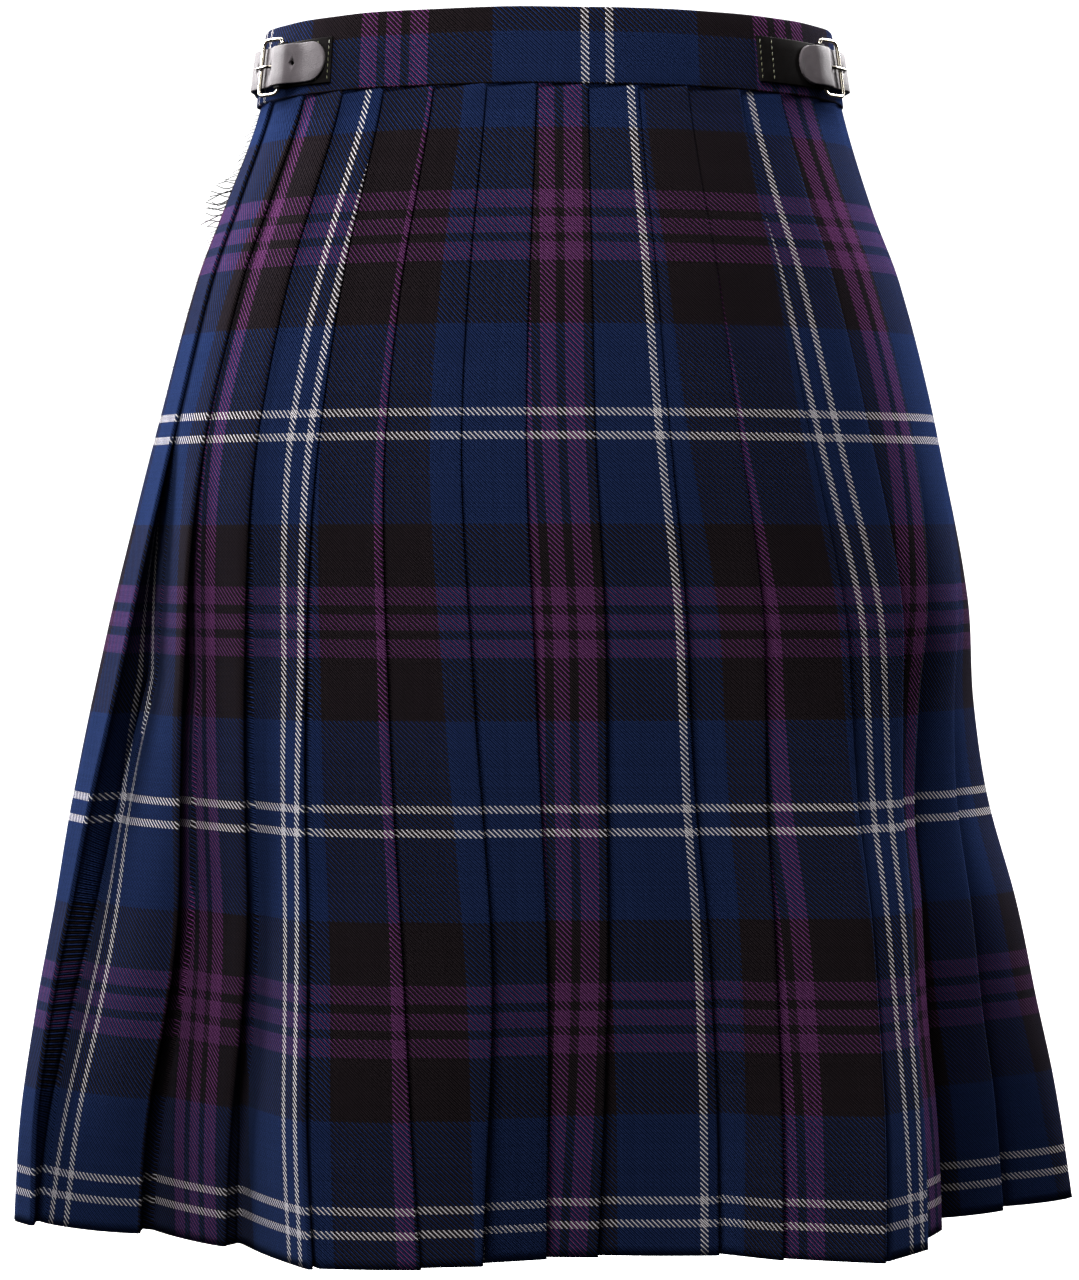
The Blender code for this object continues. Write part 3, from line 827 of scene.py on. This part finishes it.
# How far the threads' ends stand off the cloth, by depth.
FRAY_LIFT_DEPTHS = (38.0, 56.0, 68.0, 77.0, 93.0, 101.0, 115.0, 612.0)
FRAY_LIFT = (1.5, 2.0, 2.5, 9.0, 8.5, 2.0, 0.5, 0.0)
YARN = 0.22
YARN_SIDES = 3
YARN_TAPER = 0.45
YARN_STEPS = 4


def beside_apron(depth, past, out):
    """A point past the outer apron's free edge, and out from the cloth."""
    angle = smooth(FOLD_DEPTHS, OUTER_EDGE, depth)
    angle += math.degrees(past / section(depth)[2])
    place = even_shape(angle, depth) + outward(angle, depth) * out
    return softened(place, angle, depth)


def loose_thread(number, depth):
    """The points along one thread, and how thick it is."""
    stray = noise.noise(Vector((number * 0.37, 5.0, 1.0)))
    wild = noise.noise(Vector((number * 1.71, 2.0, 8.0)))
    lift = smooth(FRAY_LIFT_DEPTHS, FRAY_LIFT, depth)
    length = FRAY_LENGTH * (0.82 + 0.5 * stray) * (1.0 - 0.03 * lift)
    sink, further, aslant = FRAY_DROOP
    points = []
    for step in range(YARN_STEPS + 1):
        share = step / YARN_STEPS
        past = SEAM_GAP + FRAY_ROOT + length * share
        out = FRAY_ROOT / 2 + (FRAY_STRAY * wild + lift) * share**2
        droop = (sink + further * abs(stray)) * share**2 + aslant * wild * share
        wave = math.sin(FRAY_WAVES * share + FRAY_WAVE_START * wild)
        droop += FRAY_CURL * lift * wave * share
        points.append(beside_apron(min(depth + droop, FRAY_LOWEST), past, out))
    return points, YARN * (0.9 + 0.4 * abs(wild) + 0.1 * lift)


def thread_rings(comb, points, thick):
    rings = []
    last = len(points) - 1
    for i, point in enumerate(points):
        run = (points[min(i + 1, last)] - points[max(i - 1, 0)]).normalized()
        side = run.cross(Vector((0.0, 0.0, 1.0))).normalized()
        over = side.cross(run)
        size = thick * MM * (1.0 - YARN_TAPER * i / last)
        ring = []
        for corner in range(YARN_SIDES):
            a = math.tau * corner / YARN_SIDES
            ring.append(comb.verts.new(point + (side * math.cos(a) + over * math.sin(a)) * size))
        rings.append(ring)
    return rings


def build_fray():
    """Weft threads left loose beyond the outer apron's edge, on the last warp threads."""
    comb = bmesh.new()
    check = comb.loops.layers.uv.new("check")
    drop = FRAY_FOOT - FRAY_TOP
    for i in range(FRAY_STRANDS):
        depth = FRAY_TOP + drop * (i + 0.5) / FRAY_STRANDS
        walls, ends = loft(comb, thread_rings(comb, *loose_thread(i, depth)))
        for face in walls + ends:
            face.smooth = True
            for loop in face.loops:
                loop[check].uv = (0.0, weft_mark(depth) * MM)
    threads = meshed("loose_weft_threads", comb, yarn)
    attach(threads, "root")
    rows = []
    for i in range(FRAY_ROWS):
        depth = FRAY_TOP + drop * i / (FRAY_ROWS - 1)
        spots = (SEAM_GAP, SEAM_GAP + FRAY_STRIP / 2, SEAM_GAP + FRAY_STRIP)
        rows.append([(beside_apron(depth, past, 0.0), past, weft_mark(depth)) for past in spots])
    backing = cloth_sheet("wool_frayed_edge", rows)
    stands_for(backing, "apron_fringe")
    return threads, backing


# ---- straps, tabs and buckles ----

STRAP_WIDTH = 20.0
TAB_WIDTH = 23.0
BAR_RADIUS = 1.0
BUCKLE_TALL = 30.0
BUCKLE_WIDE = 16.0
FAR_LIFT = 3.5  # the frame's far bar stands this much higher than its inner one
FRAME_CORNER = 3.0
CORNER_STEPS = 4
PRONG_RADIUS = 0.9
PIERCED = 4.4  # the prong's hole, past the bar
HOLE_RADIUS = 1.3
HOLE_STEP = 17.0
PUNCH_REACH = 9.0
TAB_SLOT = (3.0, 2.2)  # half its length and half its height, and so for the prong's hole
PRONG_SLOT = (2.1, 1.8)
STRIP_STEP = 2.5
EDGE_ROUND = 0.5
EDGE_TURNS = (0.5, 1.05, 1.57, 2.09, 2.64)  # round an edge, in radians
END_THIN = 0.45
TIP_TURNS = (0.1, 10, 20, 30, 40, 50, 60, 70, 80)  # round a strap's tip, in degrees
STITCH_ROWS = (1.6, 9.0)  # from the tab's sewn end
STITCH_STEP = 2.6
STITCH_LONG = 0.74  # of that step
STITCH_THICK = 0.22
STITCH_SLANT = 0.25
STITCH_INSET = 1.2
FASTENING_DROP = 2.7  # the straps lie this far below the band's middle
TAB_RETURN = (4.0, 7.5)  # the tab's folded end goes back this far over itself
# The strap over the frame's inner bar and under its far one, as (distance past the inner bar,
# its middle's height off the band).
STRAP_PATH = [
    (-18, 2.7), (-14, 3.6), (-10.5, 5.8), (-8, 6.7), (0, 6.7), (2.2, 6.4), (4.4, 5.6), (7, 4.7),
    (10, 4.3), (14, 4.3), (17, 4.7), (21, 5.4), (26, 5.8), (32, 5.2), (39, 3.2), (46, 1.5),
    (52, 1.0),
]
PASTS, OFFS = zip(*STRAP_PATH)
# Heights off the band: a strip that lies on it, the frame's bar, and the tab's fold over that.
LYING = SEAM_GAP + LEATHER / 2
BAR_OUT = LYING + LEATHER / 2 + SEAM_GAP + BAR_RADIUS
WRAP = BAR_RADIUS + SEAM_GAP + LEATHER / 2
OVER = BAR_OUT + WRAP + LEATHER + SEAM_GAP
# A fastening's angles round the band, and where its strap's further holes are.
Fastening = namedtuple("Fastening", "side sign bar tab_end strap_tip strap_root holes")
FASTENINGS = [
    Fastening("left", -1, 61.0, 44.0, 45.3, 110.0, (-1, 1, 2)),
    Fastening("right", 1, 63.2, 41.7, 54.0, 108.0, (1, 2)),
]


def lying_flat(start, end, out):
    count = max(1, round(abs(end - start) / STRIP_STEP))
    return [(start + (end - start) * i / count, out) for i in range(count + 1)]


def arc(center, radius, start, end, steps):
    turns = [math.radians(start + (end - start) * i / steps) for i in range(steps + 1)]
    return [(center[0] + radius * math.cos(a), center[1] + radius * math.sin(a)) for a in turns]


def strip_outline(half, thick):
    """A strip's cross-section as (across, raised), with round edges."""
    edge = min(EDGE_ROUND, half * 0.4)
    flat = half - edge
    outline = []
    for side in (1, -1):
        for across in (flat, flat * 0.5, 0.0, -flat * 0.5, -flat):
            outline.append((across * side, side * thick / 2))
        for turn in EDGE_TURNS:
            reach = flat + edge * math.sin(turn)
            outline.append((-side * reach, side * thick / 2 * math.cos(turn)))
    return outline


def leather_strip(name, run, path, half_width, finish):
    """A strip swept along (distance, out) points, with rounded edges and ends."""
    strip = bmesh.new()
    rings = []
    last = len(path) - 1
    for i, (distance, out) in enumerate(path):
        ahead, behind = path[min(i + 1, last)], path[max(i - 1, 0)]
        run_d, run_o = ahead[0] - behind[0], ahead[1] - behind[1]
        size = math.hypot(run_d, run_o) or 1.0
        through = (-run_o / size, run_d / size)
        thick = LEATHER if 0 < i < last else LEATHER * END_THIN
        ring = []
        for across, raised in strip_outline(half_width(distance), thick):
            at = run.point(distance + through[0] * raised, out + through[1] * raised, across)
            ring.append(strip.verts.new(at))
        rings.append(ring)
    loft(strip, rings)
    bmesh.ops.recalc_face_normals(strip, faces=strip.faces)
    return meshed(name, strip, finish)


def pierce(piece, run, spots):
    """Punches (distance, out, half length, half height) holes through a strip."""
    for distance, out, long, tall in spots:
        bpy.ops.mesh.primitive_cylinder_add(vertices=20, radius=1.0, depth=1.0)
        punch = bpy.context.object
        middle = run.point(distance, out, 0.0)
        facing = (run.point(distance, out + 1, 0.0) - middle).normalized()
        punch.rotation_mode = "QUATERNION"
        punch.rotation_quaternion = facing.to_track_quat("Z", "Y")
        punch.location = middle
        punch.scale = (long * MM, tall * MM, PUNCH_REACH * MM)
        cut = piece.modifiers.new("Hole", "BOOLEAN")
        cut.operation = "DIFFERENCE"
        cut.solver = "EXACT"
        cut.object = punch
        bpy.context.view_layer.update()
        graph = bpy.context.evaluated_depsgraph_get()
        mesh = bpy.data.meshes.new_from_object(piece.evaluated_get(graph))
        piece.modifiers.clear()
        piece.data = mesh
        bpy.data.objects.remove(punch, do_unlink=True)


def bent_wire(name, points, radius, closed, finish):
    curve = bpy.data.curves.new(name, "CURVE")
    curve.dimensions = "3D"
    curve.bevel_depth = radius * MM
    curve.bevel_resolution = 5
    curve.use_fill_caps = not closed
    spline = curve.splines.new("NURBS")
    spline.points.add(len(points) - 1)
    for point, place in zip(spline.points, points):
        point.co = (*place, 1.0)
    spline.order_u = 3
    spline.use_endpoint_u = not closed
    spline.use_cyclic_u = closed
    spline.resolution_u = 5
    return shown(name, curve, finish)


def stitch_row(bundle, run, distance):
    """Short lock stitches down a line across the tab."""
    reach = TAB_WIDTH / 2 - STITCH_INSET
    out = LYING + LEATHER / 2
    count = int(2 * reach / STITCH_STEP)
    for i in range(count):
        up = -reach + (i + 0.5) * 2 * reach / count
        rings = []
        for step in range(5):
            share = step / 4
            size = STITCH_THICK * math.sin(math.pi * (0.12 + 0.76 * share))
            mid_up = up + (share - 0.5) * STITCH_STEP * STITCH_LONG
            ring = []
            for corner in range(6):
                a = math.tau * corner / 6
                d = distance + size * math.cos(a) + STITCH_SLANT * (share - 0.5)
                ring.append(bundle.verts.new(run.point(d, out + size * math.sin(a), mid_up)))
            rings.append(ring)
        loft(bundle, rings)


def build_tab(row, run, bar, sewn):
    path = lying_flat(sewn, bar, LYING) + arc((bar, BAR_OUT), WRAP, -90, 90, 10)[1:]
    path += [(bar - back, BAR_OUT + WRAP) for back in TAB_RETURN]
    tab = leather_strip(f"leather_tab_{row.side}", run, path, lambda d: TAB_WIDTH / 2, tab_hide)
    pierce(tab, run, [(bar + WRAP, BAR_OUT, *TAB_SLOT)])
    stands_for(tab, f"tab_{row.side}")


def build_strap(row, run, bar):
    tip, root = run.distance(row.strap_tip), run.distance(row.strap_root)
    half = STRAP_WIDTH / 2
    rest = LYING + LEATHER + SEAM_GAP
    path = [(tip + half * (1 - math.cos(math.radians(a))), rest) for a in TIP_TURNS]
    path += lying_flat(tip + half, bar + PASTS[0], rest)[:-1]
    for (past, off), (after, _) in zip(STRAP_PATH, STRAP_PATH[1:]):
        middle = (past + after) / 2
        path += [(bar + past, off), (bar + middle, smooth(PASTS, OFFS, middle))]
    path += lying_flat(bar + PASTS[-1], root, LYING)

    def strap_half(distance):
        from_tip = distance - tip
        if from_tip >= half:
            return half
        return math.sqrt(max(half**2 - (half - from_tip) ** 2, 0.05))

    strap = leather_strip(f"leather_strap_{row.side}", run, path, strap_half, strap_hide)
    spots = [(bar + PIERCED, OVER - LEATHER, *PRONG_SLOT)]
    for number in row.holes:
        past = PIERCED + HOLE_STEP * number
        spots.append((bar + past, smooth(PASTS, OFFS, past), HOLE_RADIUS, HOLE_RADIUS))
    pierce(strap, run, spots)
    stands_for(strap, f"strap_{row.side}")


def build_stitches(row, run, sewn):
    bundle = bmesh.new()
    for inset in STITCH_ROWS:
        stitch_row(bundle, run, sewn + inset)
    stitches = meshed(f"tab_stitches_{row.side}", bundle, thread)
    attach(stitches, "root")


def build_frame(row, run, bar, far):
    """A rectangle of round wire with rounded corners, raised towards its far bar."""
    high = BUCKLE_TALL / 2 - BAR_RADIUS - FRAME_CORNER
    corners = []
    for centre_d, centre_up, first in (
        (far - FRAME_CORNER, high, 0),
        (bar + FRAME_CORNER, high, 90),
        (bar + FRAME_CORNER, -high, 180),
        (far - FRAME_CORNER, -high, 270),
    ):
        for d, up in arc((centre_d, centre_up), FRAME_CORNER, first, first + 90, CORNER_STEPS):
            out = BAR_OUT + FAR_LIFT * (d - bar) / (far - bar)
            corners.append(run.point(d, out, up))
    buckle = bent_wire(f"buckle_frame_{row.side}", corners, BAR_RADIUS, True, metal)
    stands_for(buckle, f"buckle_{row.side}")


def build_prong(row, run, bar, far):
    """A pin that hooks round the inner bar, comes up through the strap and rests on the far bar."""
    beside = bar + BAR_RADIUS + SEAM_GAP + PRONG_RADIUS
    on_far = BAR_OUT + FAR_LIFT + BAR_RADIUS + SEAM_GAP + PRONG_RADIUS
    prong = [
        (beside, BAR_OUT - 0.6), (beside + 0.5, BAR_OUT + 1.6), (beside + 1.9, OVER - 0.8),
        (beside + 3.0, OVER + 0.9), (beside + 5.0, OVER + 1.5), (far - 1.0, on_far + 0.1),
        (far + 1.4, on_far),
    ]
    points = [run.point(d, out, 0.0) for d, out in prong]
    pin = bent_wire(f"buckle_prong_{row.side}", points, PRONG_RADIUS, False, dark_metal)
    stands_for(pin, f"prong_{row.side}")


def build_fastening(row):
    run = BandRun(row.sign)
    bar, sewn = run.distance(row.bar), run.distance(row.tab_end)
    far = bar + BUCKLE_WIDE - 2 * BAR_RADIUS
    build_tab(row, run, bar, sewn)
    build_strap(row, run, bar)
    build_stitches(row, run, sewn)
    build_frame(row, run, bar, far)
    build_prong(row, run, bar, far)


# ---- studio, in metres ----

FLOOR_DROP = 0.36  # the kilt is held up, this far clear of the floor
FLOOR_NEAR, FLOOR_FAR = -5.0, 1.6
BEND_START, BEND = 2.4, 1.2
BEND_STEPS = 12
WALL_TOP = 5.0
SWEEP_HALF = 6.0
WORLD_GLOW = 0.03
Lamp = namedtuple("Lamp", "name place aim size power")
LAMPS = [
    Lamp("key", (-0.5, -1.2, 1.2), (0.0, -0.1, -0.3), (0.6, 0.6), 60.0),
    Lamp("fill", (-0.5, -3.0, 0.9), (0.0, 0.0, -0.1), (1.6, 1.6), 33.0),
    Lamp("left_rim", (-1.1, 0.75, 0.5), (-0.1, 0.0, -0.2), (0.5, 1.0), 92.0),
    Lamp("right_rim", (0.8, 0.75, 0.6), (0.1, 0.0, -0.25), (0.4, 0.8), 90.0),
    Lamp("left_side", (-1.2, 0.45, 0.5), (-0.1, 0.0, -0.3), (0.5, 1.2), 48.0),
    Lamp("right_side", (1.1, 0.4, 0.5), (0.1, 0.0, -0.3), (0.4, 0.8), 15.0),
    Lamp("front", (0.3, 2.6, 1.0), (0.0, 0.0, -0.3), (1.4, 1.4), 24.0),
    Lamp("paper", (0.0, 1.4, 3.2), (0.0, 3.2, -0.5), (4.0, 2.0), 360.0),
]
VIEW_HEIGHT = 24.0
PICTURE_TALL = 1280
FOCUS = 4315.45  # the lens's focal length in picture pixels
CAMERA_PLACE = (-0.00166, -2.24099, -0.23392)
CAMERA_DIP = 2.0062
CAMERA_TURN = 0.0549


def build_stage():
    """A pale floor that sweeps up behind into a wall."""
    floor_z = cad_box[0][2] - FLOOR_DROP
    profile = [(FLOOR_NEAR, floor_z), (FLOOR_FAR, floor_z)]
    for i in range(BEND_STEPS + 1):
        a = math.pi / 2 * i / BEND_STEPS
        profile.append((BEND_START + BEND * math.sin(a), floor_z + BEND * (1 - math.cos(a))))
    profile.append((BEND_START + BEND, floor_z + WALL_TOP))
    sweep = bmesh.new()
    left, right = [
        [sweep.verts.new((x, y, z)) for y, z in profile] for x in (-SWEEP_HALF, SWEEP_HALF)
    ]
    for i in range(len(profile) - 1):
        sweep.faces.new((left[i], right[i], right[i + 1], left[i + 1])).smooth = True
    paper = Finish("studio_paper", Roughness=0.9)
    grain = paper.cloud(3.0, 2.0)
    paper.feed(Base_Color=paper.blend(grain, (0.93, 0.93, 0.93, 1.0), (0.95, 0.95, 0.95, 1.0)))
    sheet = meshed("studio_sweep", sweep, paper)
    sheet.visible_diffuse = False  # the paper's glow would wash out the dark wool
    sheet.visible_glossy = False  # and grey the leather


def area_light(lamp):
    light = bpy.data.lights.new(lamp.name, "AREA")
    light.shape = "RECTANGLE"
    light.size, light.size_y = lamp.size
    light.energy = lamp.power
    made = bpy.data.objects.new(lamp.name, light)
    made.location = lamp.place
    facing = Vector(lamp.aim) - Vector(lamp.place)
    made.rotation_euler = facing.to_track_quat("-Z", "Y").to_euler()
    bpy.context.scene.collection.objects.link(made)


def build_lights():
    world = bpy.data.worlds.new("studio")
    world.use_nodes = True
    world.node_tree.nodes["Background"].inputs["Color"].default_value = (1.0, 1.0, 1.0, 1.0)
    world.node_tree.nodes["Background"].inputs["Strength"].default_value = WORLD_GLOW
    bpy.context.scene.world = world
    for lamp in LAMPS:
        area_light(lamp)
    bpy.context.scene.view_settings.view_transform = "Standard"


def build_camera():
    lens = bpy.data.cameras.new("camera")
    lens.sensor_fit = "VERTICAL"
    lens.sensor_height = VIEW_HEIGHT
    lens.lens = FOCUS * VIEW_HEIGHT / PICTURE_TALL
    made = bpy.data.objects.new("camera", lens)
    made.location = CAMERA_PLACE
    made.rotation_euler = (math.radians(90 - CAMERA_DIP), 0.0, math.radians(CAMERA_TURN))
    bpy.context.scene.collection.objects.link(made)
    bpy.context.scene.camera = made


wool = woven_wool()
yarn = loose_yarn()
tab_hide = strap_leather("tab_hide", (0.0024, 0.0020, 0.0020), 0.0, 0.02, 0.55)
# Partly painted sheen: the strap's base colour is paler than the tab's. This is partly its own
# leather and partly stands in for the grey that its gloss reflects, while its gloss is kept low.
strap_hide = strap_leather("strap_hide", (0.046, 0.040, 0.043), 0.05, 0.0, 0.60)
metal = plated_metal("plated_metal", (0.24, 0.21, 0.165, 1.0), (0.42, 0.385, 0.33, 1.0))
# Painted shade in part: the prong's plating is made far darker than the frame's, which also paints
# the shade that falls round the prong and its hole.
dark_metal = plated_metal("dark_metal", (0.05, 0.042, 0.036, 1.0), (0.16, 0.14, 0.12, 1.0))
thread = waxed_thread()

skirt = build_skirt()
build_waistband()
threads, backing = build_fray()
for fastening in FASTENINGS:
    build_fastening(fastening)
build_stage()
build_lights()
build_camera()
